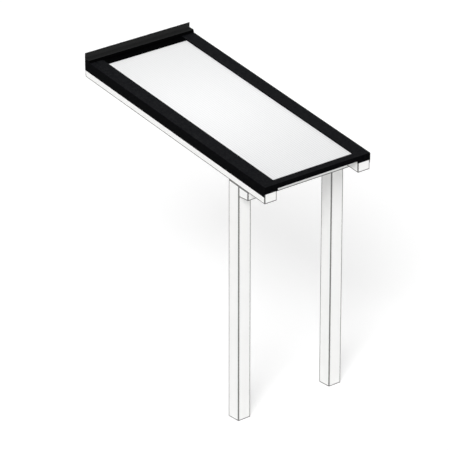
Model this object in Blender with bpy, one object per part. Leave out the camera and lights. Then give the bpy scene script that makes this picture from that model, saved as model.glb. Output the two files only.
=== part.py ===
"""Lean-to patio cover: white timber frame, black aluminium edging and a multiwall roof sheet.

Metres, +Z up. The cover's back is the plane y = 0 and the roof runs out from it towards -Y.
The origin is the middle of the wall ledger's back face, where the cover is bolted on.
"""
import math

import bmesh
import bpy
from mathutils import Matrix, Vector

# Overall form
ROOF_WIDTH = 1.060              # over the outer faces of the side caps
ROOF_PROJECTION = 2.205         # back to front, measured level
ROOF_PITCH = math.radians(9.0)
WALL_HEADROOM = 2.305           # posts' feet to the rafters' underside at the back
BEAM_SETBACK = 0.199            # roof's front to the cross beam's front face
TOUCH = 0.0003                  # gap between pieces that touch

# Timber
POST_SIDE = 0.120
RAFTER_WIDTH = 0.120
RAFTER_DEPTH = 0.110            # square to the slope
BEAM_THICKNESS = 0.108
BEAM_DEPTH = 0.088              # at its back, the taller side
LEDGER_THICKNESS = 0.058
ARRIS = 0.002                   # planed off every edge

# Multiwall roof sheet
SHEET_THICKNESS = 0.016
SHEET_SKIN = 0.0010
SHEET_RIB = 0.0008
SHEET_CELL = 0.022              # rib to rib
SHEET_SIDE_INSET = 0.040        # roof's outer face to the sheet's edge
SHEET_WALL_INSET = 0.012
SHEET_FRONT_INSET = 0.010

# Rubber seals: a flat strip under the sheet, and a rooted wiper on top of it
SEAL_THICKNESS = 0.0025
SEAL_WIDTH = 0.036
SEAL_SETBACK = 0.004            # sheet's edge to the side seal
LEDGER_SEAL_WIDTH = 0.030
WIPER_THICKNESS = 0.0030
WIPER_OVERHANG = 0.003          # wiper past the lip that holds it

# Edging shared by the caps and the wall and front profiles
EDGING_WALL = 0.0025
LIP_DEPTH = 0.0030
LIP_WALL = 0.0012
LIP_SLOT = 0.0040               # takes the wiper's root
CORNER_RADIUS = 0.004
CORNER_STEPS = 4

# Side caps, and the rails that they clip onto
CAP_WIDTH = 0.131
CAP_SKIRT = 0.083               # height of the outer face
RAIL_WALL = 0.002
RAIL_MARGIN = 0.0035            # foot's edge to the skirt and to the sheet
RAIL_HEADROOM = 0.008           # rail's top edge to the cap's underside
CLIP_OPENING = 0.017            # between the rail's two legs
CLIP_WALL = 0.0018              # the cap's own legs
CLIP_FREE_END = 0.005           # cap leg past its barb
BARB = 0.0012
BARB_HEIGHT = 0.003

# Wall, front and end pieces
WALL_REACH = 0.123              # cover's back to the edge of the wall profile
FRONT_REACH = 0.062             # roof's front to the inner edge of the front profile
FRONT_FACE = 0.040
FRONT_SHELF = 0.045             # flange under the sheet
FRONT_SHELF_WALL = 0.002
DRAIN_COUNT = 6                 # slots in the shelf, to drain the channels
DRAIN_LENGTH = 0.030
DRAIN_WIDTH = 0.004
END_CAP_WALL = 0.002
END_CAP_FACE = 0.059
END_PEG_LENGTH = 0.020
END_PEG_MARGIN = 0.012          # peg to the clip and to the wiper
END_PEG_CLEARANCE = 0.0015      # peg to the sheet
FLASHING_WALL = 0.002
FLASHING_STEP = 0.016           # apron above the caps, at its back
FLASHING_UPSTAND = 0.040
FLASHING_KICK = 0.003           # top edge bent forward for the sealant
FLASHING_KICK_HEIGHT = 0.007
FLASHING_REACH = 0.050
FLASHING_FALL = math.radians(5.0)
FLASHING_LIP_LEAN = 0.009       # lip's lower edge in front of its fold

# Steel angle brackets
BRACKET_WALL = 0.0025
BRACKET_LEG = 0.060
BRACKET_WIDTH = 0.050
SCREW_HOLE_RADIUS = 0.003
SCREW_HOLE_SIDES = 10
SCREW_STEPS = (0.36, 0.80)      # along a leg, as shares of it
SCREW_STAGGER = 0.010           # off the leg's centre line

# What follows from those sizes
SLOPE = math.tan(ROOF_PITCH)
STRETCH = 1.0 / math.cos(ROOF_PITCH)
HALF_WIDTH = ROOF_WIDTH / 2
LEDGER_HEIGHT = RAFTER_DEPTH * STRETCH
GROUND = -WALL_HEADROOM - LEDGER_HEIGHT / 2
BEAM_DISTANCE = ROOF_PROJECTION - BEAM_SETBACK - BEAM_THICKNESS
POST_DISTANCE = BEAM_DISTANCE - TOUCH - POST_SIDE   # cover's back to the posts' back faces
RAFTER_FACE = EDGING_WALL + TOUCH              # roof's outer face to the rafter
RAFTER_INNER_FACE = RAFTER_FACE + RAFTER_WIDTH
BAR_END = ROOF_PROJECTION - END_CAP_WALL - TOUCH
SHEET_BASE = TOUCH + SEAL_THICKNESS + TOUCH    # heights above the rafters, square to them
SHEET_TOP = SHEET_BASE + SHEET_THICKNESS
WIPER_BASE = SHEET_TOP + TOUCH
WIPER_TOP = WIPER_BASE + WIPER_THICKNESS
LIP_BASE = WIPER_TOP + TOUCH
PLATE_BASE = LIP_BASE + LIP_DEPTH
CAP_TOP = PLATE_BASE + EDGING_WALL
RAIL_CENTRE = (RAFTER_FACE + SHEET_SIDE_INSET) / 2
BETWEEN_CAPS = HALF_WIDTH - CAP_WIDTH - TOUCH  # half the length of the front profile

SIDES = {"left": -1, "right": 1}

# Finishes: colour, roughness, metallic
WHITE_PAINT = ((0.90, 0.90, 0.89), 0.50, 0.0)
BLACK_COATING = ((0.012, 0.013, 0.015), 0.42, 0.4)
OPAL_PLASTIC = ((0.90, 0.92, 0.93), 0.25, 0.0)
BLACK_RUBBER = ((0.010, 0.010, 0.010), 0.80, 0.0)
ZINC = ((0.62, 0.63, 0.64), 0.40, 1.0)


def clear_scene():
    for item in list(bpy.data.objects):
        bpy.data.objects.remove(item, do_unlink=True)


def finish_material(name, finish):
    colour, roughness, metallic = finish
    material = bpy.data.materials.new(name)
    material.use_nodes = True
    shader = material.node_tree.nodes["Principled BSDF"]
    shader.inputs["Base Color"].default_value = (*colour, 1.0)
    shader.inputs["Roughness"].default_value = roughness
    shader.inputs["Metallic"].default_value = metallic
    return material


def add_empty(name, height, tilt):
    empty = bpy.data.objects.new(name, None)
    empty.location.z = height
    empty.rotation_euler.x = tilt
    bpy.context.scene.collection.objects.link(empty)
    return empty


def extrude_ring(name, ring, run):
    """A closed mesh: the flat ring of points pushed along the vector run."""
    mesh = bpy.data.meshes.new(name)
    bm = bmesh.new()
    base = bm.faces.new([bm.verts.new(point) for point in ring])
    pushed = bmesh.ops.extrude_face_region(bm, geom=[base], use_keep_orig=True)
    moved = [item for item in pushed["geom"] if isinstance(item, bmesh.types.BMVert)]
    bmesh.ops.translate(bm, verts=moved, vec=run)
    bmesh.ops.recalc_face_normals(bm, faces=bm.faces)
    bm.to_mesh(mesh)
    bm.free()
    return mesh


def add_piece(name, mesh, parent, finish, location=(0.0, 0.0, 0.0)):
    piece = bpy.data.objects.new(name, mesh)
    piece.parent = parent
    piece.location = location
    mesh.materials.clear()
    mesh.materials.append(finish_material(name, finish))
    bpy.context.scene.collection.objects.link(piece)
    return piece


def ease_edges(piece):
    bevel = piece.modifiers.new("eased_edges", "BEVEL")
    bevel.width = ARRIS
    bevel.segments = 1
    bevel.limit_method = "NONE"


def hide_tool(tool):
    tool.hide_render = True
    tool.display_type = "WIRE"


def combine(piece, tool, operation):
    hide_tool(tool)
    boolean = piece.modifiers.new(operation.lower(), "BOOLEAN")
    boolean.operation = operation
    boolean.object = tool


def repeat_across(piece, count, spacing):
    row = piece.modifiers.new("row", "ARRAY")
    row.count = count
    row.use_relative_offset = False
    row.use_constant_offset = True
    row.constant_offset_displace = (spacing, 0.0, 0.0)


def plumb(distance, height):
    """Down-slope place, in the roof's frame, of the plumb plane a level distance from the back."""
    return height * SLOPE - distance * STRETCH


def roof_bar(name, outline, side, roof, finish, start=0.0, end=BAR_END):
    """A bar down the slope with plumb ends; the outline is (inward from the side, height)."""
    ring = [(-side * inward, plumb(start, height), height) for inward, height in outline]
    mesh = extrude_ring(name, ring, (0.0, -(end - start) * STRETCH, 0.0))
    return add_piece(name, mesh, roof, finish, (side * HALF_WIDTH, 0.0, 0.0))


def cross_bar(name, outline, half_length, parent, finish):
    """A bar along x, centred; the outline is (y, z)."""
    ring = [(-half_length, y, z) for y, z in outline]
    mesh = extrude_ring(name, ring, (2 * half_length, 0.0, 0.0))
    return add_piece(name, mesh, parent, finish)


def offset_path(path, distance):
    """The path moved to its left by the distance, with mitred corners."""
    points = [Vector(point) for point in path]
    runs = [(end - start).normalized() for start, end in zip(points, points[1:])]
    moved = []
    for index, point in enumerate(points):
        before = runs[max(index - 1, 0)]
        after = runs[min(index, len(runs) - 1)]
        left = Vector((-before.y - after.y, before.x + after.x)).normalized()
        across = left.dot(Vector((-after.y, after.x)))
        moved.append(tuple(point + left * (distance / across)))
    return moved


def folded_strip(path, thickness):
    """Outline of sheet metal bent along the path, its thickness laid on the path's left."""
    return list(path) + offset_path(path, thickness)[::-1]


def rafter_underside(distance):
    """Height of the rafters' underside, a level distance from the cover's back."""
    return -LEDGER_HEIGHT / 2 - distance * SLOPE


def build_post(side_name, side):
    """A post under its rafter, with its head cut to the roof's pitch."""
    back = rafter_underside(POST_DISTANCE) - TOUCH - GROUND
    front = rafter_underside(POST_DISTANCE + POST_SIDE) - TOUCH - GROUND
    half = POST_SIDE / 2
    ring = [(-half, half, 0.0), (-half, half, back), (-half, -half, front), (-half, -half, 0.0)]
    mesh = extrude_ring("post", ring, (POST_SIDE, 0.0, 0.0))
    place = (side * (HALF_WIDTH - RAFTER_FACE - half), -POST_DISTANCE - half, GROUND)
    ease_edges(add_piece("post_" + side_name, mesh, None, WHITE_PAINT, place))


def build_cross_beam():
    """The beam on the posts' front faces, its top planed to lie flat under the rafters."""
    front = BEAM_DISTANCE + BEAM_THICKNESS
    back_top = rafter_underside(BEAM_DISTANCE) - TOUCH
    outline = [
        (-BEAM_DISTANCE, back_top - BEAM_DEPTH),
        (-BEAM_DISTANCE, back_top),
        (-front, rafter_underside(front) - TOUCH),
        (-front, back_top - BEAM_DEPTH),
    ]
    ease_edges(cross_bar("cross_beam", outline, HALF_WIDTH - RAFTER_FACE, None, WHITE_PAINT))


def build_ledger():
    """The timber bolted on between the rafters, its top planed to the roof's pitch."""
    outline = [
        (0.0, -LEDGER_HEIGHT / 2),
        (0.0, LEDGER_HEIGHT / 2),
        (-LEDGER_THICKNESS, LEDGER_HEIGHT / 2 - LEDGER_THICKNESS * SLOPE),
        (-LEDGER_THICKNESS, -LEDGER_HEIGHT / 2),
    ]
    half_length = HALF_WIDTH - RAFTER_INNER_FACE - TOUCH
    ease_edges(cross_bar("wall_ledger", outline, half_length, None, WHITE_PAINT))


def build_rafter(side_name, side, roof):
    outline = [
        (RAFTER_FACE, -RAFTER_DEPTH),
        (RAFTER_FACE, 0.0),
        (RAFTER_INNER_FACE, 0.0),
        (RAFTER_INNER_FACE, -RAFTER_DEPTH),
    ]
    ease_edges(roof_bar("rafter_" + side_name, outline, side, roof, WHITE_PAINT))


def build_sheet(roof):
    """The twin-skin sheet, with a channel between each two ribs open at both ends."""
    half_width = HALF_WIDTH - SHEET_SIDE_INSET
    back = -SHEET_WALL_INSET
    front = -(ROOF_PROJECTION * STRETCH - SHEET_FRONT_INSET)
    cells = round(2 * half_width / SHEET_CELL)
    pitch = (2 * half_width - SHEET_RIB) / cells
    ends = [(-half_width, back), (half_width, back)]
    ring = [(x, y, SHEET_BASE) for x, y in ends] + [(x, y, SHEET_TOP) for x, y in ends[::-1]]
    mesh = extrude_ring("polycarbonate_sheet", ring, (0.0, front - back, 0.0))
    sheet = add_piece("polycarbonate_sheet", mesh, roof, OPAL_PLASTIC)

    left = -half_width + SHEET_RIB
    right = left + pitch - SHEET_RIB
    low = SHEET_BASE + SHEET_SKIN
    high = SHEET_TOP - SHEET_SKIN
    past = SHEET_CELL
    ring = [(left, back + past, low), (right, back + past, low),
            (right, back + past, high), (left, back + past, high)]
    mesh = extrude_ring("channels", ring, (0.0, front - back - 2 * past, 0.0))
    channels = add_piece("sheet_channels", mesh, roof, OPAL_PLASTIC)
    repeat_across(channels, cells, pitch)
    combine(sheet, channels, "DIFFERENCE")


def build_side_seal(side_name, side, roof):
    start = SHEET_SIDE_INSET + SEAL_SETBACK
    outline = [
        (start, TOUCH),
        (start, TOUCH + SEAL_THICKNESS),
        (start + SEAL_WIDTH, TOUCH + SEAL_THICKNESS),
        (start + SEAL_WIDTH, TOUCH),
    ]
    roof_bar("side_seal_" + side_name, outline, side, roof, BLACK_RUBBER, start=SHEET_WALL_INSET)


def build_ledger_seal(roof):
    """The strip that carries the sheet's top end on the ledger."""
    middle = -LEDGER_THICKNESS / 2
    outline = [
        (middle + LEDGER_SEAL_WIDTH / 2, TOUCH),
        (middle + LEDGER_SEAL_WIDTH / 2, TOUCH + SEAL_THICKNESS),
        (middle - LEDGER_SEAL_WIDTH / 2, TOUCH + SEAL_THICKNESS),
        (middle - LEDGER_SEAL_WIDTH / 2, TOUCH),
    ]
    half_length = HALF_WIDTH - RAFTER_INNER_FACE - TOUCH
    cross_bar("ledger_seal", outline, half_length, roof, BLACK_RUBBER)


def rail_leg(direction):
    """One upright leg of the rail, from its outer foot to its inner foot, with its barb."""
    inner = CLIP_OPENING / 2
    outer = inner + RAIL_WALL
    top = PLATE_BASE - RAIL_HEADROOM
    foot = TOUCH + RAIL_WALL
    points = [
        (outer, foot),
        (outer, top),
        (inner, top),
        (inner - BARB, top - BARB_HEIGHT),
        (inner, top - BARB_HEIGHT),
        (inner, foot),
    ]
    return [(RAIL_CENTRE + direction * across, height) for across, height in points]


def build_side_rail(side_name, side, roof):
    """The rail screwed to the rafter beside the sheet; its two barbed legs hold the cap."""
    low = RAFTER_FACE + RAIL_MARGIN
    high = SHEET_SIDE_INSET - RAIL_MARGIN
    foot = TOUCH + RAIL_WALL
    outline = [(low, TOUCH), (low, foot)]
    outline += rail_leg(-1) + rail_leg(1)[::-1]
    outline += [(high, foot), (high, TOUCH)]
    roof_bar("side_rail_" + side_name, outline, side, roof, BLACK_COATING)


def cap_leg(direction):
    """One leg of the cap, hooked under the rail's barb; from its outer root to its inner root."""
    outer = CLIP_OPENING / 2 - BARB - TOUCH
    inner = outer - CLIP_WALL
    barb_top = PLATE_BASE - RAIL_HEADROOM - BARB_HEIGHT - TOUCH
    tip = barb_top - CLIP_FREE_END
    points = [
        (outer, PLATE_BASE),
        (outer, barb_top),
        (outer + BARB - TOUCH, barb_top),
        (outer - CLIP_WALL / 2, tip),
        (inner, tip),
        (inner, PLATE_BASE),
    ]
    return [(RAIL_CENTRE + direction * across, height) for across, height in points]


def lip_outline(edge, inward):
    """The edging's inner edge, from its top down and back: two small legs and their slot."""
    slot_end = LIP_WALL + LIP_SLOT
    width = slot_end + LIP_WALL
    points = [
        (0.0, CAP_TOP),
        (0.0, LIP_BASE),
        (LIP_WALL, LIP_BASE),
        (LIP_WALL, PLATE_BASE),
        (slot_end, PLATE_BASE),
        (slot_end, LIP_BASE),
        (width, LIP_BASE),
        (width, PLATE_BASE),
    ]
    return [(edge + inward * place, height) for place, height in points]


def wiper_outline(edge, inward):
    """The rubber under the lip, with its root up the slot."""
    root = LIP_WALL + TOUCH
    root_end = LIP_WALL + LIP_SLOT - TOUCH
    width = 2 * LIP_WALL + LIP_SLOT + WIPER_OVERHANG
    points = [
        (0.0, WIPER_BASE),
        (width, WIPER_BASE),
        (width, WIPER_TOP),
        (root_end, WIPER_TOP),
        (root_end, PLATE_BASE - TOUCH),
        (root, PLATE_BASE - TOUCH),
        (root, WIPER_TOP),
        (0.0, WIPER_TOP),
    ]
    return [(edge + inward * place, height) for place, height in points]


def cap_corner():
    """The rounded outer top edge of the side cap, from the skirt to the top."""
    points = []
    for step in range(CORNER_STEPS + 1):
        angle = math.pi / 2 * step / CORNER_STEPS
        across = CORNER_RADIUS * (1 - math.cos(angle))
        up = CORNER_RADIUS * (1 - math.sin(angle))
        points.append((across, CAP_TOP - up))
    return points


def build_side_cap(side_name, side, roof):
    """The wide top plate and skirt that cover the rafter and the sheet's edge."""
    skirt_end = CAP_TOP - CAP_SKIRT
    outline = [(0.0, skirt_end)] + cap_corner()
    outline += lip_outline(CAP_WIDTH, -1)
    outline += cap_leg(1) + cap_leg(-1)[::-1]
    outline += [(EDGING_WALL, PLATE_BASE), (EDGING_WALL, skirt_end)]
    roof_bar("side_cap_" + side_name, outline, side, roof, BLACK_COATING)
    wiper = wiper_outline(CAP_WIDTH, -1)
    start = SHEET_WALL_INSET
    roof_bar("side_wiper_" + side_name, wiper, side, roof, BLACK_RUBBER, start=start)


def build_end_cap(side_name, side, roof):
    """The plate that closes a side cap's front end, with the peg that plugs into the cap."""
    outline = [(0.0, CAP_TOP - END_CAP_FACE)] + cap_corner()
    outline += [(CAP_WIDTH, CAP_TOP), (CAP_WIDTH, CAP_TOP - END_CAP_FACE)]
    start = ROOF_PROJECTION - END_CAP_WALL
    plate = roof_bar("end_cap_" + side_name, outline, side, roof, BLACK_COATING,
                     start=start, end=ROOF_PROJECTION)
    near = RAIL_CENTRE + CLIP_OPENING / 2 + END_PEG_MARGIN
    far = CAP_WIDTH - 2 * LIP_WALL - LIP_SLOT - WIPER_OVERHANG - END_PEG_MARGIN
    low = SHEET_TOP + END_PEG_CLEARANCE
    high = PLATE_BASE - TOUCH
    peg = roof_bar("end_peg_" + side_name, [(near, low), (near, high), (far, high), (far, low)],
                   side, roof, BLACK_COATING,
                   start=start - END_PEG_LENGTH, end=start + END_CAP_WALL / 2)
    combine(plate, peg, "UNION")


def cut_drains(profile, shelf_base):
    """A row of slots through the front profile's shelf, between the sheet's end and the face."""
    spacing = 2 * BETWEEN_CAPS / DRAIN_COUNT
    first = -BETWEEN_CAPS + spacing / 2
    from_front = (SHEET_FRONT_INSET + EDGING_WALL) / 2
    middle = from_front - ROOF_PROJECTION * STRETCH
    low = shelf_base - FRONT_SHELF_WALL
    ends = [(middle + DRAIN_WIDTH / 2, low), (middle - DRAIN_WIDTH / 2, low)]
    ring = [(first - DRAIN_LENGTH / 2, y, z) for y, z in ends]
    ring += [(first + DRAIN_LENGTH / 2, y, z) for y, z in ends[::-1]]
    mesh = extrude_ring("drain", ring, (0.0, 0.0, 3 * FRONT_SHELF_WALL))
    drains = add_piece("front_drains", mesh, profile.parent, BLACK_COATING)
    repeat_across(drains, DRAIN_COUNT, spacing)
    combine(profile, drains, "DIFFERENCE")


def build_front_profile(roof):
    """The trim along the sheet's lower end: top plate, plumb drip face and a shelf below."""
    edge = -(ROOF_PROJECTION * STRETCH - FRONT_REACH)
    inner = ROOF_PROJECTION - EDGING_WALL
    shelf_top = SHEET_BASE - TOUCH
    shelf_base = shelf_top - FRONT_SHELF_WALL
    shelf_end = -(ROOF_PROJECTION * STRETCH - FRONT_SHELF)
    bottom = CAP_TOP - FRONT_FACE
    outline = lip_outline(edge, -1)
    outline += [
        (plumb(inner, PLATE_BASE), PLATE_BASE),
        (plumb(inner, shelf_top), shelf_top),
        (shelf_end, shelf_top),
        (shelf_end, shelf_base),
        (plumb(inner, shelf_base), shelf_base),
        (plumb(inner, bottom), bottom),
        (plumb(ROOF_PROJECTION, bottom), bottom),
        (plumb(ROOF_PROJECTION, CAP_TOP), CAP_TOP),
    ]
    profile = cross_bar("front_profile", outline, BETWEEN_CAPS, roof, BLACK_COATING)
    cut_drains(profile, shelf_base)
    cross_bar("front_wiper", wiper_outline(edge, -1), BETWEEN_CAPS, roof, BLACK_RUBBER)


def build_wall_profile(roof):
    """The angle that closes the sheet's upper end and stands on the ledger."""
    edge = -WALL_REACH * STRETCH
    outline = lip_outline(edge, 1)
    outline += [
        (plumb(EDGING_WALL, PLATE_BASE), PLATE_BASE),
        (plumb(EDGING_WALL, TOUCH), TOUCH),
        (plumb(0.0, TOUCH), TOUCH),
        (plumb(0.0, CAP_TOP), CAP_TOP),
    ]
    cross_bar("wall_profile", outline, BETWEEN_CAPS, roof, BLACK_COATING)
    cross_bar("wall_wiper", wiper_outline(edge, 1), BETWEEN_CAPS, roof, BLACK_RUBBER)


def close_flashing_ends(flashing, path, wall_foot):
    """A small plate under each end of the apron, let into half of the strip's thickness."""
    within_strip = offset_path(path[::-1], FLASHING_WALL / 2)
    outline = [wall_foot, path[-1]] + within_strip + [path[0]]
    for side_name, side in SIDES.items():
        ring = [(0.0, y, z) for y, z in outline]
        mesh = extrude_ring("flashing_end", ring, (-side * FLASHING_WALL, 0.0, 0.0))
        place = (side * HALF_WIDTH, 0.0, 0.0)
        plate = add_piece("flashing_end_" + side_name, mesh, None, BLACK_COATING, place)
        combine(flashing, plate, "UNION")


def build_flashing():
    """The folded strip with its upstand at the back, its lip resting on the caps."""
    caps_at_wall = LEDGER_HEIGHT / 2 + CAP_TOP * STRETCH
    fold = caps_at_wall + FLASHING_STEP
    top = fold + FLASHING_UPSTAND
    lip_out = FLASHING_REACH + FLASHING_LIP_LEAN
    path = [
        (-FLASHING_KICK, top),
        (0.0, top - FLASHING_KICK_HEIGHT),
        (0.0, fold),
        (-FLASHING_REACH, fold - FLASHING_REACH * math.tan(FLASHING_FALL)),
        (-lip_out, caps_at_wall - lip_out * SLOPE + TOUCH * STRETCH),
    ]
    outline = folded_strip(path[::-1], FLASHING_WALL)
    flashing = cross_bar("wall_flashing", outline, HALF_WIDTH, None, BLACK_COATING)
    close_flashing_ends(flashing, path[2:], (0.0, caps_at_wall + TOUCH * STRETCH))


def screw_holes(name, seat, length_axis, width_axis):
    """Cutters for the screws of one bracket leg, which starts at seat along length_axis."""
    bm = bmesh.new()
    through = width_axis.cross(length_axis)
    turn = Matrix((width_axis, length_axis, through)).transposed().to_4x4()
    for index, share in enumerate(SCREW_STEPS):
        stagger = SCREW_STAGGER if index % 2 else -SCREW_STAGGER
        centre = seat + length_axis * (BRACKET_LEG * share) + width_axis * stagger
        bmesh.ops.create_cone(
            bm, cap_ends=True, segments=SCREW_HOLE_SIDES, radius1=SCREW_HOLE_RADIUS,
            radius2=SCREW_HOLE_RADIUS, depth=4 * BRACKET_WALL,
            matrix=Matrix.Translation(centre) @ turn)
    mesh = bpy.data.meshes.new(name)
    bm.to_mesh(mesh)
    bm.free()
    return mesh


def drill_bracket(bracket, legs, width_axis):
    """Both legs' screw holes; each leg is its corner and its direction."""
    for number, (corner, direction) in enumerate(legs):
        name = "%s_holes_%d" % (bracket.name, number)
        mesh = screw_holes(name, corner, direction, width_axis)
        tool = add_piece(name, mesh, None, ZINC, bracket.location)
        combine(bracket, tool, "DIFFERENCE")


def build_post_bracket(side_name, side):
    """The angle in the corner behind the post's head, its upper leg flat under the rafter."""
    corner = Vector((0.0, TOUCH, -TOUCH * STRETCH))
    down = Vector((0.0, 0.0, -1.0))
    up_slope = Vector((0.0, math.cos(ROOF_PITCH), math.sin(ROOF_PITCH)))
    points = [corner + down * BRACKET_LEG, corner, corner + up_slope * BRACKET_LEG]
    outline = folded_strip([(point.y, point.z) for point in points[::-1]], BRACKET_WALL)
    half = BRACKET_WIDTH / 2
    mesh = extrude_ring("post_bracket", [(-half, y, z) for y, z in outline], (2 * half, 0.0, 0.0))
    place = (side * (HALF_WIDTH - RAFTER_FACE - RAFTER_WIDTH / 2), -POST_DISTANCE,
             rafter_underside(POST_DISTANCE - TOUCH))
    bracket = add_piece("post_bracket_" + side_name, mesh, None, ZINC, place)
    drill_bracket(bracket, [(corner, down), (corner, up_slope)], Vector((1.0, 0.0, 0.0)))


def build_ledger_bracket(side_name, side):
    """The angle that ties the rafter's inner face to the ledger's front face."""
    corner = Vector((-side * TOUCH, -TOUCH, 0.0))
    along_ledger = Vector((-side, 0.0, 0.0))
    along_rafter = Vector((0.0, -1.0, 0.0))
    ends = [corner + along_ledger * BRACKET_LEG, corner, corner + along_rafter * BRACKET_LEG]
    path = [(point.x, point.y) for point in (ends[::-1] if side > 0 else ends)]
    half = BRACKET_WIDTH / 2
    ring = [(x, y, -half) for x, y in folded_strip(path, BRACKET_WALL)]
    mesh = extrude_ring("ledger_bracket", ring, (0.0, 0.0, BRACKET_WIDTH))
    place = (side * (HALF_WIDTH - RAFTER_INNER_FACE), -LEDGER_THICKNESS, 0.0)
    bracket = add_piece("ledger_bracket_" + side_name, mesh, None, ZINC, place)
    drill_bracket(bracket, [(corner, along_ledger), (corner, along_rafter)], Vector((0.0, 0.0, 1.0)))


def build_cover():
    clear_scene()
    roof = add_empty("roof_plane", LEDGER_HEIGHT / 2, ROOF_PITCH)
    build_ledger()
    build_cross_beam()
    for side_name, side in SIDES.items():
        build_post(side_name, side)
        build_rafter(side_name, side, roof)
        build_side_seal(side_name, side, roof)
        build_side_rail(side_name, side, roof)
        build_side_cap(side_name, side, roof)
        build_end_cap(side_name, side, roof)
        build_post_bracket(side_name, side)
        build_ledger_bracket(side_name, side)
    build_ledger_seal(roof)
    build_sheet(roof)
    build_front_profile(roof)
    build_wall_profile(roof)
    build_flashing()


build_cover()
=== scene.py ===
"""Lean-to patio cover in a plain studio: finishes for every node, the fixings, light and camera.

Metres, +Z up, in the part's frame: the ledger's back is the plane y = 0 and the roof runs out to -Y.
"""
import math
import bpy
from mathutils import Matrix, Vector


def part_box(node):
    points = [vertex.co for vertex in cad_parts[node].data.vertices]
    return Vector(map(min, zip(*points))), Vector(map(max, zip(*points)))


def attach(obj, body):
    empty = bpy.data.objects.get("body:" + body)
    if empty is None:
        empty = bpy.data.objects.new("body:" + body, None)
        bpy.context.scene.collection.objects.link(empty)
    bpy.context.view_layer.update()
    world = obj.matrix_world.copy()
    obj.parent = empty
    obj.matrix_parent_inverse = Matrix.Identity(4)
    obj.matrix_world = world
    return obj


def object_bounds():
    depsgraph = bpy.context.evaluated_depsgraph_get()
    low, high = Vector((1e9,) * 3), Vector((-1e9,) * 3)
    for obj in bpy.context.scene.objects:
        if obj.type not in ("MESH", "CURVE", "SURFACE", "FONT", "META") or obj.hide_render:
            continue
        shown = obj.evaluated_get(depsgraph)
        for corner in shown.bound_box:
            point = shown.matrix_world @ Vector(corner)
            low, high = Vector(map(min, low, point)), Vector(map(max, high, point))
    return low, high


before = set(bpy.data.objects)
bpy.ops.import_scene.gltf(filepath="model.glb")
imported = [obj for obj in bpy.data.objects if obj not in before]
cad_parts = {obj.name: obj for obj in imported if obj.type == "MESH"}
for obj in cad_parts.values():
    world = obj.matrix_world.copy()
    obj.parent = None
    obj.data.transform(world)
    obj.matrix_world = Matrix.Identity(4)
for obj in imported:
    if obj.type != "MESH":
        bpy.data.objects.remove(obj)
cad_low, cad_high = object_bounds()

from types import SimpleNamespace

import bmesh
import bpy
from mathutils import Matrix, Vector

# Sizes of the part that the fixings and patterns follow
ROOF_PITCH = math.radians(9.0)
UP_SLOPE = Vector((0.0, math.cos(ROOF_PITCH), math.sin(ROOF_PITCH)))
SHEET_CELLS = 45
SHEET_RIB = 0.0008
FLASHING_UPSTAND = 0.040
BRACKET_LEG = 0.060
BRACKET_PLATE = 0.0025
SCREW_STEPS = (0.36, 0.80)      # shares of a bracket's leg
SCREW_STAGGER = 0.010           # off the leg's centre line

# Finishes
RING_SPACING = 0.00546          # growth rings of the softwood
RING_WANDER = 0.012             # how far the rings stray from round
ARRIS_SHADE = 0.0105            # reach of the dark line along the timber's edges
COAT_EDGE = 0.0016              # reach of the painted highlight along a coated edge
COAT_GLEAM = 0.008              # the coats' specular level, low enough to keep them black
SIDE_SHADE = 0.48               # painted shade: a coated side's share of a top face's brightness
LIP_SHADE = 0.15                # painted shade: the same for the front of the flashing's lip
RECESS_SHADE = 0.12             # and for the profile under the flashing, painted shade over its whole coat
SHEET_GLOW = 0.15               # share of the light that comes through the opal plastic
FOLD_FADE = (0.0062, 0.0050)    # the flashing's greying fades between these depths below its fold

# Pan-head screws: each pan step is a share of the radius and a drop, as a share of the height
SCREW_HEAD_RADIUS = 0.0052
SCREW_HEAD_HEIGHT = 0.0032
PAN_STEPS = ((0.55, 0.02), (0.78, 0.16), (0.93, 0.28), (1.0, 0.34), (0.98, 0.20))
RECESS_RADIUS = 0.0022
RECESS_DEPTH = 0.0018
RECESS_LOBES = 6
LOBE_STEPS = 4
RECESS_PINCH = 0.16             # drawn in between the lobes, as a share of the radius
SCREW_TURN = 0.9                # from one screw's recess to the next one's
SEAT_GAP = 0.0001               # between a fixing's foot and its seat
CRISP_ANGLE = math.radians(35.0)    # edges sharper than this aren't smoothed over

# Hexagon screws and anchors with washers
BOLT_HEAD_FLATS = 0.013
BOLT_HEAD_HEIGHT = 0.0055
BOLT_HEAD_BEVEL = 0.0007
WASHER_RADIUS = 0.012
WASHER_THICKNESS = 0.0018
WASHER_BEVEL = 0.0004
BEAM_SCREW_RISE = 0.024         # over the beam's underside
BEAM_SCREWS = ((-0.030, 0.13), (0.030, 0.67))   # offset from the post's middle and turn
ANCHORS = ((-0.27, 0.012, 0.03), (0.0, -0.012, 0.30), (0.27, 0.012, 0.57))    # x, z and turn

# Sealant along the flashing, its section about the top edge as y and z
SEALANT_SECTION = ((-0.0002, -0.0062), (-0.0027, -0.0004), (-0.0044, 0.0008), (-0.0036, 0.0022),
                   (-0.0016, 0.0033), (-0.0002, 0.0037))
SEALANT_INSET = 0.0015
SEALANT_STEPS = 64
SEALANT_RIPPLES = ((0.0003, 61.0), (0.0002, 143.0))     # height and pace

# Studio
WORLD_LEVEL = 0.50              # sky light on the object; the background itself is white
FLOOR_COLOUR = (0.80, 0.80, 0.80)
FLOOR_LIFT = 0.36               # brings the unshaded floor up to the white background
FLOOR_REACH = 60.0
FLOOR_DROP = 0.0005             # below the posts' feet


# Shader helpers

def add_node(tree, kind, inputs=None, **settings):
    """A shader node with its settings, and its inputs given as values or linked sockets."""
    made = tree.nodes.new(kind)
    for name, value in settings.items():
        setattr(made, name, value)
    for name, value in (inputs or {}).items():
        if isinstance(value, bpy.types.NodeSocket):
            tree.links.new(value, made.inputs[name])
        else:
            made.inputs[name].default_value = value
    return made


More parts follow.
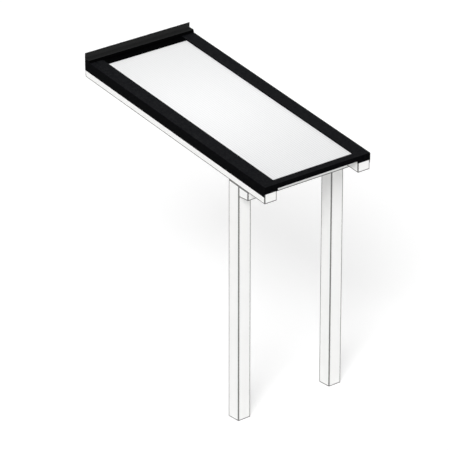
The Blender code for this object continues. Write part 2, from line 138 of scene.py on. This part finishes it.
def start_material(name, roughness, metallic=0.0, specular=0.5):
    """A new material with its node tree and its Principled shader."""
    material = bpy.data.materials.new(name)
    material.use_nodes = True
    tree = material.node_tree
    shader = tree.nodes["Principled BSDF"]
    shader.inputs["Roughness"].default_value = roughness
    shader.inputs["Metallic"].default_value = metallic
    shader.inputs["Specular IOR Level"].default_value = specular
    return material, tree, shader


def pattern_space(tree, turn=(0.0, 0.0, 0.0), shift=(0.0, 0.0, 0.0), scale=(1.0, 1.0, 1.0)):
    """Object coordinates, turned, shifted and then scaled."""
    place = add_node(tree, "ShaderNodeTexCoord").outputs["Object"]
    turned = add_node(tree, "ShaderNodeMapping", {
        "Vector": place, "Rotation": turn, "Location": shift})
    return add_node(tree, "ShaderNodeMapping", {
        "Vector": turned.outputs["Vector"], "Scale": scale}).outputs["Vector"]


def axis_of(tree, vector, axis):
    return add_node(tree, "ShaderNodeSeparateXYZ", {"Vector": vector}).outputs[axis]


def noise(tree, vector, scale, detail=2.0, roughness=0.5):
    return add_node(tree, "ShaderNodeTexNoise", {
        "Vector": vector, "Scale": scale, "Detail": detail, "Roughness": roughness}).outputs["Fac"]


def remap(tree, value, low, high, to_low=0.0, to_high=1.0):
    """The value moved from its own range to a new one, and held inside it."""
    return add_node(tree, "ShaderNodeMapRange", {
        "Value": value, "From Min": low, "From Max": high,
        "To Min": to_low, "To Max": to_high}, clamp=True).outputs["Result"]


def spread(tree, pattern, low=0.0, high=1.0):
    """The middle range of a noise, which is most of it, laid out from low to high."""
    return remap(tree, pattern, 0.3, 0.7, low, high)


def combine(tree, operation, first, second=0.0):
    """Two values or sockets through a Math node."""
    return add_node(tree, "ShaderNodeMath", {0: first, 1: second}, operation=operation).outputs["Value"]


def times(tree, first, second):
    return combine(tree, "MULTIPLY", first, second)


def mix_colour(tree, share, first, second):
    """The first colour, giving way to the second by the share.

    The Mix node has sockets for each kind of data; 0, 6, 7 and the output 2 are those for colour.
    """
    mixer = add_node(tree, "ShaderNodeMix", {0: share, 6: first, 7: second}, data_type="RGBA")
    return mixer.outputs[2]


def rgba(red, green, blue):
    return (red, green, blue, 1.0)


def bump(tree, height, depth, strength, normal=None):
    inputs = {"Height": height, "Distance": depth, "Strength": strength}
    if normal is not None:
        inputs["Normal"] = normal
    return add_node(tree, "ShaderNodeBump", inputs).outputs["Normal"]


def connect(tree, shader, colour, roughness, normal):
    tree.links.new(colour, shader.inputs["Base Color"])
    tree.links.new(roughness, shader.inputs["Roughness"])
    tree.links.new(normal, shader.inputs["Normal"])


def outer_edges(tree, reach, samples=6, full=0.50, none=0.95):
    """1 on an outer edge, falling to 0 within its reach.

    It reads the occlusion inside the piece: full or less gives 1, and none or more gives 0.
    """
    shade = add_node(tree, "ShaderNodeAmbientOcclusion", {"Distance": reach},
                     inside=True, samples=samples).outputs["AO"]
    return remap(tree, shade, full, none, 1.0, 0.0)


def painted_corner_light(tree, reach):
    """Painted shade: 0 deep in a corner between pieces, rising to 1 in the open."""
    shade = add_node(tree, "ShaderNodeAmbientOcclusion", {"Distance": reach}, samples=8).outputs["AO"]
    return remap(tree, shade, 0.55, 0.95)


def facing(tree, axis, low, high):
    """The surface normal's share along an axis, from 0 at low to 1 at high."""
    normal = add_node(tree, "ShaderNodeNewGeometry").outputs["Normal"]
    return remap(tree, axis_of(tree, normal, axis), low, high)


# Timber

def growth_rings(tree, turn, shift):
    """Rings around the pattern's z axis, as a wave from 0 to 1."""
    flat = pattern_space(tree, turn, shift, (1.0, 1.0, 0.0))
    radius = add_node(tree, "ShaderNodeVectorMath", {"Vector": flat}, operation="LENGTH").outputs["Value"]
    stretched = pattern_space(tree, turn, shift, (1.0, 1.0, 0.12))
    wander = remap(tree, noise(tree, stretched, scale=9.0), 0.0, 1.0, -RING_WANDER, RING_WANDER)
    turns = times(tree, combine(tree, "ADD", radius, wander), 2 * math.pi / RING_SPACING)
    return remap(tree, combine(tree, "SINE", turns), -1.0, 1.0)


def painted_timber(name, turn, shift):
    """White satin paint over planed softwood.

    The turn lays the grain along the pattern's z, and the shift puts the rings' centre off the piece.
    """
    fresh = rgba(0.935, 0.935, 0.928)
    aged = rgba(0.918, 0.918, 0.907)
    grain_line = rgba(0.84, 0.83, 0.80)
    arris_line = rgba(0.120, 0.119, 0.116)
    material, tree, shader = start_material(name, 0.5, specular=0.35)
    rings = growth_rings(tree, turn, shift)
    fibre_space = pattern_space(tree, turn, shift, (1.0, 1.0, 0.02))
    brush_space = pattern_space(tree, turn, shift, (1.0, 1.0, 0.04))
    grain = noise(tree, fibre_space, scale=420.0, detail=3.0, roughness=0.6)
    strokes = noise(tree, brush_space, scale=260.0)
    blotch = noise(tree, pattern_space(tree, turn, shift), scale=3.0)
    edges = outer_edges(tree, ARRIS_SHADE, samples=20, full=0.90, none=0.97)

    paint = mix_colour(tree, spread(tree, blotch), fresh, aged)
    lines = times(tree, rings, remap(tree, grain, 0.35, 0.75))
    paint = mix_colour(tree, times(tree, lines, 0.20), paint, grain_line)
    paint = mix_colour(tree, times(tree, edges, 0.95), paint, arris_line)
    relief = combine(tree, "ADD", times(tree, rings, 0.5), times(tree, grain, 0.8))
    normal = bump(tree, relief, depth=0.00012, strength=0.7)
    normal = bump(tree, strokes, depth=0.00008, strength=0.6, normal=normal)
    connect(tree, shader, paint, spread(tree, strokes, 0.42, 0.58), normal)
    return material


# Black coats

def coat_texture(tree):
    """The patterns that the black coats share."""
    place = pattern_space(tree)
    return SimpleNamespace(
        grit=noise(tree, place, scale=900.0, roughness=0.6),
        peel=noise(tree, place, scale=160.0, detail=1.0),
        mottle=noise(tree, place, scale=90.0, roughness=0.6),
        smears=noise(tree, place, scale=34.0, roughness=0.6),
        clouds=noise(tree, place, scale=5.0, detail=3.0, roughness=0.55),
        upward=facing(tree, "Z", 0.2, 1.0),
        height=axis_of(tree, place, "Z"))


def coat_colour(tree, texture):
    """Near black in soft patches, with dust on the upward faces that is also painted light on them, and a
    painted highlight along the outer edges.
    """
    deep = rgba(0.0005, 0.0006, 0.0018)
    fleck = rgba(0.0013, 0.0015, 0.0030)
    patch = rgba(0.0056, 0.0058, 0.0064)
    dust_and_top_light_tint = rgba(0.078, 0.081, 0.087)
    edge = rgba(0.024, 0.025, 0.027)
    colour = mix_colour(tree, remap(tree, texture.grit, 0.35, 0.7), deep, fleck)
    patches = remap(tree, combine(tree, "ADD", texture.mottle, texture.smears), 0.70, 1.35)
    colour = mix_colour(tree, patches, colour, patch)
    # dust on the upward faces, also painted light that makes the tops brighter than the sides
    dust_and_top_light = times(tree, texture.upward, spread(tree, texture.mottle, 0.4, 1.6))
    dust_and_top_light = times(tree, dust_and_top_light, spread(tree, texture.smears, 0.75, 1.25))
    dust_and_top_light = times(tree, dust_and_top_light, spread(tree, texture.clouds, 0.8, 1.2))
    colour = mix_colour(tree, times(tree, dust_and_top_light, 0.045), colour, dust_and_top_light_tint)
    # painted highlight: a lighter line along the outer edges
    return mix_colour(tree, times(tree, outer_edges(tree, COAT_EDGE), 0.30), colour, edge)


def coat_painted_light(tree, texture):
    """Painted shade as a share of light: full on an open top face, about half on an open side, and low
    between pieces.
    """
    return times(tree, painted_corner_light(tree, 0.035), remap(tree, texture.upward, 0.0, 1.0, SIDE_SHADE, 1.0))


def finish_coat(tree, shader, texture, colour, painted_light_share):
    """Painted shade: the colour sinks to black where the share of light is low."""
    # the black that the painted shade sinks to
    sunk = rgba(0.0003, 0.0003, 0.0003)
    normal = bump(tree, texture.grit, depth=0.00006, strength=0.5)
    normal = bump(tree, texture.peel, depth=0.00012, strength=0.35, normal=normal)
    connect(tree, shader, mix_colour(tree, painted_light_share, sunk, colour),
            spread(tree, texture.clouds, 0.30, 0.38), normal)


def powder_coat(name, shade=1.0):
    """Near-black powder coat with painted shade on its sides and between pieces; a low shade paints a
    recess's shade over all of it.
    """
    material, tree, shader = start_material(name, 0.34, specular=COAT_GLEAM * shade)
    texture = coat_texture(tree)
    painted_light_share = times(tree, coat_painted_light(tree, texture), shade)
    finish_coat(tree, shader, texture, coat_colour(tree, texture), painted_light_share)
    return material


def flashing_coat(name, fold):
    """The same coat, greyed above the height of the fold, its grey lighter on upright faces as painted
    light, and with painted shade on the lip's front.
    """
    upright_painted_light_grey = rgba(0.0225, 0.0230, 0.0230)
    level_grey = rgba(0.0147, 0.0150, 0.0150)
    bleached = rgba(0.0315, 0.0325, 0.0325)
    material, tree, shader = start_material(name, 0.34, specular=COAT_GLEAM)
    texture = coat_texture(tree)
    above = remap(tree, texture.height, fold - FOLD_FADE[0], fold - FOLD_FADE[1])
    # painted light: the upright faces take a lighter grey than the level ones
    grey = mix_colour(tree, texture.upward, upright_painted_light_grey, level_grey)
    grey = mix_colour(tree, spread(tree, texture.mottle, 0.0, 0.25), grey, bleached)
    colour = mix_colour(tree, above, coat_colour(tree, texture), grey)
    # painted shade on the front of the lip
    lip_painted_shade = remap(tree, facing(tree, "Y", -0.5, -0.9), 0.0, 1.0, 1.0, LIP_SHADE)
    painted_light_share = times(tree, coat_painted_light(tree, texture), lip_painted_shade)
    painted_light_share = combine(tree, "MAXIMUM", painted_light_share, above)
    finish_coat(tree, shader, texture, colour, painted_light_share)
    return material


# Other finishes

def opal_sheet(name, node):
    """Translucent opal plastic, its ribs showing as faint lines with painted shade beside them, growing
    clearer to the front.
    """
    skin = rgba(0.965, 0.968, 0.970)
    haze_tint = rgba(0.955, 0.959, 0.962)
    rib_side_painted_shade = rgba(0.905, 0.910, 0.914)
    rib_core = rgba(0.66, 0.67, 0.68)
    low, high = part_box(node)
    cell_pitch = (high.x - low.x - SHEET_RIB) / SHEET_CELLS
    material, tree, shader = start_material(name, 0.3, specular=0.45)
    place = pattern_space(tree)
    cell = combine(tree, "DIVIDE", combine(tree, "SUBTRACT", axis_of(tree, place, "X"), low.x), cell_pitch)
    from_rib = combine(tree, "PINGPONG", cell, 0.5)
    clearer = remap(tree, axis_of(tree, place, "Y"), high.y, low.y, 0.18, 1.0)
    near_rib = times(tree, remap(tree, from_rib, 0.0, 0.5, 1.0, 0.0), clearer)
    on_rib = times(tree, remap(tree, from_rib, 0.03, 0.10, 0.85, 0.0), clearer)
    haze = noise(tree, pattern_space(tree, scale=(1.0, 0.15, 1.0)), scale=9.0)

    colour = mix_colour(tree, spread(tree, haze), skin, haze_tint)
    # painted shade beside each rib
    colour = mix_colour(tree, near_rib, colour, rib_side_painted_shade)
    colour = mix_colour(tree, on_rib, colour, rib_core)
    tree.links.new(colour, shader.inputs["Base Color"])
    tree.links.new(spread(tree, haze, 0.28, 0.34), shader.inputs["Roughness"])
    through = add_node(tree, "ShaderNodeBsdfTranslucent", {"Color": colour})
    both = add_node(tree, "ShaderNodeMixShader", {
        0: SHEET_GLOW, 1: shader.outputs["BSDF"], 2: through.outputs["BSDF"]})
    tree.links.new(both.outputs["Shader"], tree.nodes["Material Output"].inputs["Surface"])
    return material


def soft_rubber(name):
    """Matt black rubber with a faint bloom, and painted shade that sinks it to black in the corners."""
    black = rgba(0.006, 0.006, 0.006)
    bloomed = rgba(0.014, 0.014, 0.015)
    # the black of the painted shade in the corners
    sunk = rgba(0.0005, 0.0005, 0.0005)
    material, tree, shader = start_material(name, 0.75, specular=0.08)
    place = pattern_space(tree)
    bloom = noise(tree, place, scale=18.0, detail=3.0)
    colour = mix_colour(tree, remap(tree, bloom, 0.35, 0.75), black, bloomed)
    colour = mix_colour(tree, painted_corner_light(tree, 0.025), sunk, colour)
    normal = bump(tree, noise(tree, place, scale=700.0), depth=0.00008, strength=0.5)
    connect(tree, shader, colour, spread(tree, bloom, 0.68, 0.82), normal)
    return material


def zinc_plate(name, crystal_scale):
    """Bright zinc in faint crystals, stained here and there and brighter along its edges."""
    dull = rgba(0.50, 0.51, 0.53)
    bright = rgba(0.66, 0.67, 0.68)
    stain_tint = rgba(0.42, 0.41, 0.38)
    edge = rgba(0.80, 0.80, 0.81)
    material, tree, shader = start_material(name, 0.4, metallic=1.0)
    place = pattern_space(tree)
    cells = add_node(tree, "ShaderNodeTexVoronoi", {"Vector": place, "Scale": crystal_scale})
    crystals = add_node(tree, "ShaderNodeSeparateColor", {"Color": cells.outputs["Color"]}).outputs["Red"]
    stain = noise(tree, place, scale=60.0, detail=3.0)
    colour = mix_colour(tree, crystals, dull, bright)
    colour = mix_colour(tree, remap(tree, stain, 0.55, 0.8, 0.0, 0.35), colour, stain_tint)
    colour = mix_colour(tree, times(tree, outer_edges(tree, 0.0012), 0.6), colour, edge)
    roughness = remap(tree, crystals, 0.0, 1.0, 0.30, 0.46)
    connect(tree, shader, colour, roughness, bump(tree, stain, depth=0.00005, strength=0.4))
    return material


def sealant_rubber(name):
    dark = rgba(0.012, 0.012, 0.013)
    light = rgba(0.022, 0.022, 0.023)
    material, tree, shader = start_material(name, 0.45, specular=0.3)
    mottle = noise(tree, pattern_space(tree), scale=90.0)
    connect(tree, shader, mix_colour(tree, mottle, dark, light), spread(tree, mottle, 0.38, 0.55),
            bump(tree, mottle, depth=0.0003, strength=0.4))
    return material


# Dressing the nodes

def dress(material, *nodes):
    """The CAD nodes keep their shapes and take this finish."""
    for node in nodes:
        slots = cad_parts[node].data.materials
        slots.clear()
        slots.append(material)


def dress_timber():
    """Each length comes from its own place in the log, so no two show the same rings."""
    upright = (0.0, 0.0, 0.0)
    crosswise = (0.0, -math.pi / 2, 0.0)
    down_slope = (-math.pi / 2 - ROOF_PITCH, 0.0, 0.0)
    for node, turn, shift in (("post_left", upright, (0.47, 1.99, 0.3)),
                              ("post_right", upright, (-0.55, 1.72, 1.1)),
                              ("cross_beam", crosswise, (0.30, 1.90, 0.2)),
                              ("wall_ledger", crosswise, (0.05, 0.09, 0.7)),
                              ("rafter_left", down_slope, (0.42, 0.16, 0.5)),
                              ("rafter_right", down_slope, (-0.50, -0.10, 1.9))):
        dress(painted_timber(node + "_paint", turn, shift), node)


def dress_nodes():
    dress_timber()
    dress(powder_coat("black_coat"), "side_cap_left", "side_cap_right", "side_rail_left",
          "side_rail_right", "end_cap_left", "end_cap_right", "front_profile")
    # the profile under the flashing takes the coat with a recess's shade painted in
    dress(powder_coat("recess_painted_shade_coat", RECESS_SHADE), "wall_profile")
    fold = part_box("wall_flashing")[1].z - FLASHING_UPSTAND
    dress(flashing_coat("flashing_coat", fold), "wall_flashing")
    dress(soft_rubber("seal_rubber"), "side_seal_left", "side_seal_right", "ledger_seal",
          "side_wiper_left", "side_wiper_right", "front_wiper", "wall_wiper")
    dress(zinc_plate("bracket_zinc", 260.0), "post_bracket_left", "post_bracket_right",
          "ledger_bracket_left", "ledger_bracket_right")
    dress(opal_sheet("opal_plastic", "polycarbonate_sheet"), "polycarbonate_sheet")


# Fixings

def new_parts(made, kind):
    """The verts, edges or faces that an operator returned."""
    return [item for item in made["geom"] if isinstance(item, kind)]


def extrude_ring(bm, edges):
    """New verts and edges in the same place, joined to the ring by faces."""
    made = bmesh.ops.extrude_edge_only(bm, edges=edges)
    return new_parts(made, bmesh.types.BMVert), new_parts(made, bmesh.types.BMEdge)


def screw_head():
    """A pan head with a lobed recess, its foot at z = 0."""
    bm = bmesh.new()
    opening = bmesh.ops.create_circle(
        bm, segments=RECESS_LOBES * LOBE_STEPS, radius=RECESS_RADIUS)["verts"]
    for index, vert in enumerate(opening):
        lobe = 1.0 - RECESS_PINCH * (1.0 - math.cos(2 * math.pi * index / LOBE_STEPS)) / 2
        vert.co = (vert.co.x * lobe, vert.co.y * lobe, SCREW_HEAD_HEIGHT)
    rim = bm.edges[:]
    sunk, sunk_edges = extrude_ring(bm, rim)
    bmesh.ops.translate(bm, verts=sunk, vec=(0.0, 0.0, -RECESS_DEPTH))
    bmesh.ops.contextual_create(bm, geom=sunk_edges)
    ring = rim
    for share, drop in PAN_STEPS:
        verts, ring = extrude_ring(bm, ring)
        for vert in verts:
            out = vert.co.xy.normalized() * share * SCREW_HEAD_RADIUS
            vert.co = (out.x, out.y, vert.co.z - drop * SCREW_HEAD_HEIGHT)
    bmesh.ops.contextual_create(bm, geom=ring)
    bmesh.ops.recalc_face_normals(bm, faces=bm.faces)
    return bm


def add_disc(bm, segments, radius, bottom, height):
    """A disc or prism whose foot is at the height of bottom; returns its verts."""
    verts = bmesh.ops.create_cone(bm, cap_ends=True, segments=segments, radius1=radius,
                                  radius2=radius, depth=height)["verts"]
    bmesh.ops.translate(bm, verts=verts, vec=(0.0, 0.0, bottom + height / 2))
    return verts


def soften(bm, edges, width):
    bmesh.ops.bevel(bm, geom=edges, offset=width, segments=2, profile=0.5, affect="EDGES",
                    material=-1)


def hex_head():
    """A hexagon head on its washer, its foot at z = 0."""
    bm = bmesh.new()
    add_disc(bm, 32, WASHER_RADIUS, 0.0, WASHER_THICKNESS)
    soften(bm, [edge for edge in bm.edges if edge.verts[0].co.z == edge.verts[1].co.z], WASHER_BEVEL)
    corner_radius = BOLT_HEAD_FLATS / 2 / math.cos(math.pi / 6)
    head = add_disc(bm, 6, corner_radius, WASHER_THICKNESS, BOLT_HEAD_HEIGHT)
    soften(bm, [edge for edge in bm.edges if edge.verts[0] in head], BOLT_HEAD_BEVEL)
    bmesh.ops.recalc_face_normals(bm, faces=bm.faces)
    return bm


def finish_piece(name, bm, material):
    mesh = bpy.data.meshes.new(name)
    bm.to_mesh(mesh)
    bm.free()
    mesh.shade_smooth()
    mesh.set_sharp_from_angle(angle=CRISP_ANGLE)
    mesh.materials.append(material)
    piece = bpy.data.objects.new(name, mesh)
    bpy.context.scene.collection.objects.link(piece)
    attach(piece, "root")


def add_fixings(name, make_head, places, material):
    """One piece that holds a copy of the head at each place."""
    pattern = bpy.data.meshes.new(name + "_pattern")
    head = make_head()
    head.to_mesh(pattern)
    head.free()
    bm = bmesh.new()
    for place in places:
        known = set(bm.verts)
        bm.from_mesh(pattern)
        fresh = [vert for vert in bm.verts if vert not in known]
        bmesh.ops.transform(bm, matrix=place, verts=fresh)
    bpy.data.meshes.remove(pattern)
    finish_piece(name, bm, material)


def seated(point, outward, turn):
    """Where a fixing goes: its foot just off the point, its axis outward, turned about it."""
    foot = Matrix.Translation(point + outward * SEAT_GAP)
    aim = outward.to_track_quat("Z", "Y").to_matrix().to_4x4()
    return foot @ aim @ Matrix.Rotation(turn, 4, "Z")


def leg_screws(corner, along, across, outward, first_turn):
    """Places for the screws of one bracket leg, on its outer face."""
    places = []
    for index, share in enumerate(SCREW_STEPS):
        stagger = SCREW_STAGGER if index % 2 else -SCREW_STAGGER
        point = corner + along * BRACKET_LEG * share + across * stagger + outward * BRACKET_PLATE
        places.append(seated(point, outward, first_turn + SCREW_TURN * index))
    return places


def add_bracket_screws(zinc):
    x_axis = Vector((1.0, 0.0, 0.0))
    y_axis = Vector((0.0, 1.0, 0.0))
    z_axis = Vector((0.0, 0.0, 1.0))
    off_rafter = x_axis.cross(-UP_SLOPE)        # down, square to the slope
    for side_name, side in (("left", -1), ("right", 1)):
        low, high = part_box("post_bracket_" + side_name)
        corner = Vector(((low.x + high.x) / 2, low.y, low.z + BRACKET_LEG))
        into_post = leg_screws(corner, -z_axis, x_axis, y_axis, first_turn=0.2)
        into_rafter = leg_screws(corner, UP_SLOPE, x_axis, off_rafter, first_turn=0.5)
        add_fixings("post_bracket_screws_" + side_name, screw_head, into_post + into_rafter, zinc)

        low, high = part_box("ledger_bracket_" + side_name)
        corner = Vector((high.x if side > 0 else low.x, high.y, (low.z + high.z) / 2))
        inward = x_axis * -side
        into_ledger = leg_screws(corner, inward, z_axis, -y_axis, first_turn=0.3)
        into_rafter = leg_screws(corner, -y_axis, z_axis, inward, first_turn=0.7)
        add_fixings("ledger_bracket_screws_" + side_name, screw_head, into_ledger + into_rafter, zinc)


def add_bolts(zinc):
    """Hexagon screws from the posts' backs into the beam, and anchors through the ledger."""
    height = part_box("cross_beam")[0].z + BEAM_SCREW_RISE
    back = Vector((0.0, 1.0, 0.0))
    for side_name in ("left", "right"):
        low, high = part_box("post_" + side_name)
        middle = (low.x + high.x) / 2
        places = [seated(Vector((middle + offset, high.y, height)), back, turn)
                  for offset, turn in BEAM_SCREWS]
        add_fixings("beam_screws_" + side_name, hex_head, places, zinc)
    front_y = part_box("wall_ledger")[0].y
    places = [seated(Vector((x, front_y, z)), -back, turn) for x, z, turn in ANCHORS]
    add_fixings("wall_anchors", hex_head, places, zinc)


def add_sealant():
    """The hand-laid bead along the flashing's bent top edge, its upper side in slow ripples."""
    low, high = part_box("wall_flashing")
    step = (high.x - low.x - 2 * SEALANT_INSET) / SEALANT_STEPS
    bm = bmesh.new()
    end = bm.faces.new([bm.verts.new((low.x + SEALANT_INSET, y, high.z + z)) for y, z in SEALANT_SECTION])
    for index in range(SEALANT_STEPS):
        made = bmesh.ops.extrude_face_region(bm, geom=[end], use_keep_orig=index == 0)
        end = new_parts(made, bmesh.types.BMFace)[0]
        bmesh.ops.translate(bm, verts=new_parts(made, bmesh.types.BMVert), vec=(step, 0.0, 0.0))
    for vert in bm.verts:
        if vert.co.z > high.z:
            vert.co.z += sum(height * math.sin(vert.co.x * pace) for height, pace in SEALANT_RIPPLES)
    bmesh.ops.recalc_face_normals(bm, faces=bm.faces)
    finish_piece("flashing_sealant", bm, sealant_rubber("sealant"))


# Studio

def ray_seen_white(tree):
    """1 for the rays that should meet a white background, and 0 for the light on the object."""
    path = add_node(tree, "ShaderNodeLightPath")
    seen = combine(tree, "MAXIMUM", path.outputs["Is Camera Ray"], path.outputs["Is Glossy Ray"])
    return combine(tree, "MAXIMUM", seen, path.outputs["Is Transmission Ray"])


def floor_paint():
    """A pale floor that meets the white background, keeps shadows and is clear from below."""
    material = bpy.data.materials.new("floor_paint")
    material.use_nodes = True
    tree = material.node_tree
    tree.nodes.clear()
    paint = add_node(tree, "ShaderNodeBsdfDiffuse", {"Color": (*FLOOR_COLOUR, 1.0)})
    lift = add_node(tree, "ShaderNodeEmission", {
        "Strength": times(tree, ray_seen_white(tree), FLOOR_LIFT)})
    lit = add_node(tree, "ShaderNodeAddShader", {
        0: paint.outputs["BSDF"], 1: lift.outputs["Emission"]})
    below = add_node(tree, "ShaderNodeNewGeometry").outputs["Backfacing"]
    clear = add_node(tree, "ShaderNodeBsdfTransparent")
    shown = add_node(tree, "ShaderNodeMixShader", {
        0: below, 1: lit.outputs["Shader"], 2: clear.outputs["BSDF"]})
    add_node(tree, "ShaderNodeOutputMaterial", {"Surface": shown.outputs["Shader"]})
    return material


def add_floor():
    bm = bmesh.new()
    bmesh.ops.create_grid(bm, x_segments=1, y_segments=1, size=FLOOR_REACH)
    bmesh.ops.translate(bm, verts=bm.verts, vec=(0.0, 0.0, cad_low.z - FLOOR_DROP))
    mesh = bpy.data.meshes.new("floor")
    bm.to_mesh(mesh)
    bm.free()
    mesh.materials.append(floor_paint())
    floor = bpy.data.objects.new("floor", mesh)
    bpy.context.scene.collection.objects.link(floor)


def add_world():
    world = bpy.data.worlds.new("studio")
    bpy.context.scene.world = world
    world.use_nodes = True
    tree = world.node_tree
    background = tree.nodes["Background"]
    background.inputs["Color"].default_value = rgba(1.0, 1.0, 1.0)
    level = remap(tree, ray_seen_white(tree), 0.0, 1.0, WORLD_LEVEL, 1.0)
    tree.links.new(level, background.inputs["Strength"])


def toward(azimuth, elevation):
    """The direction of a lamp or camera; azimuth 0 is in front and 90 on the right, in degrees."""
    turn = math.radians(azimuth)
    rise = math.radians(elevation)
    return Vector((math.sin(turn) * math.cos(rise), -math.cos(turn) * math.cos(rise), math.sin(rise)))


def stand(name, data, place, back):
    """A lamp or camera at a place, looking away from its back."""
    item = bpy.data.objects.new(name, data)
    item.location = place
    item.rotation_mode = "QUATERNION"
    item.rotation_quaternion = back.to_track_quat("Z", "Y")
    bpy.context.scene.collection.objects.link(item)
    return item


def add_sun(name, azimuth, elevation, level, softness):
    """A soft, even lamp, its softness the width in degrees that it fills in the sky."""
    data = bpy.data.lights.new(name, "SUN")
    data.energy = level * math.pi
    data.angle = math.radians(softness)
    stand(name, data, (0.0, 0.0, 0.0), toward(azimuth, elevation))


def add_softbox():
    """A lamp close over the middle of the roof, so that the light fades to the sheet's ends."""
    data = bpy.data.lights.new("softbox", "AREA")
    data.shape = "SQUARE"
    data.size = 1.0
    data.energy = 2.8
    lamp = stand("softbox", data, (-0.16, -1.22, 0.85), Vector((0.0, 0.0, 1.0)))
    lamp.visible_camera = False
    lamp.visible_glossy = False


def add_camera():
    """A view from high at the front left, with a long lens.

    The middle is the point of the part that falls on middle_in_picture, in pixels.
    """
    back = toward(-39.78, 24.34)
    distance = 29.41
    picture = 450
    pixels_per_metre = 127.47
    middle = Vector((0.0, -1.3, -1.0))
    middle_in_picture = (241.7, 220.2)
    right = Vector((-back.y, back.x, 0.0)).normalized()
    up = back.cross(right)
    across = (middle_in_picture[0] - picture / 2) / pixels_per_metre
    down = (middle_in_picture[1] - picture / 2) / pixels_per_metre
    place = middle + back * distance
    aim = middle - right * across + up * down
    data = bpy.data.cameras.new("camera")
    data.sensor_width = 36.0
    data.lens = pixels_per_metre * distance / picture * data.sensor_width
    data.clip_start = 1.0
    data.clip_end = 200.0
    bpy.context.scene.camera = stand("camera", data, place, place - aim)


bpy.context.scene.view_settings.view_transform = "Standard"
dress_nodes()
fixing_zinc = zinc_plate("fixing_zinc", 900.0)
add_bracket_screws(fixing_zinc)
add_bolts(fixing_zinc)
add_sealant()
add_floor()
add_world()
add_sun("key", azimuth=-52.0, elevation=38.0, level=0.57, softness=24.0)
add_sun("fill", azimuth=-12.0, elevation=14.0, level=0.13, softness=60.0)
add_softbox()
add_camera()
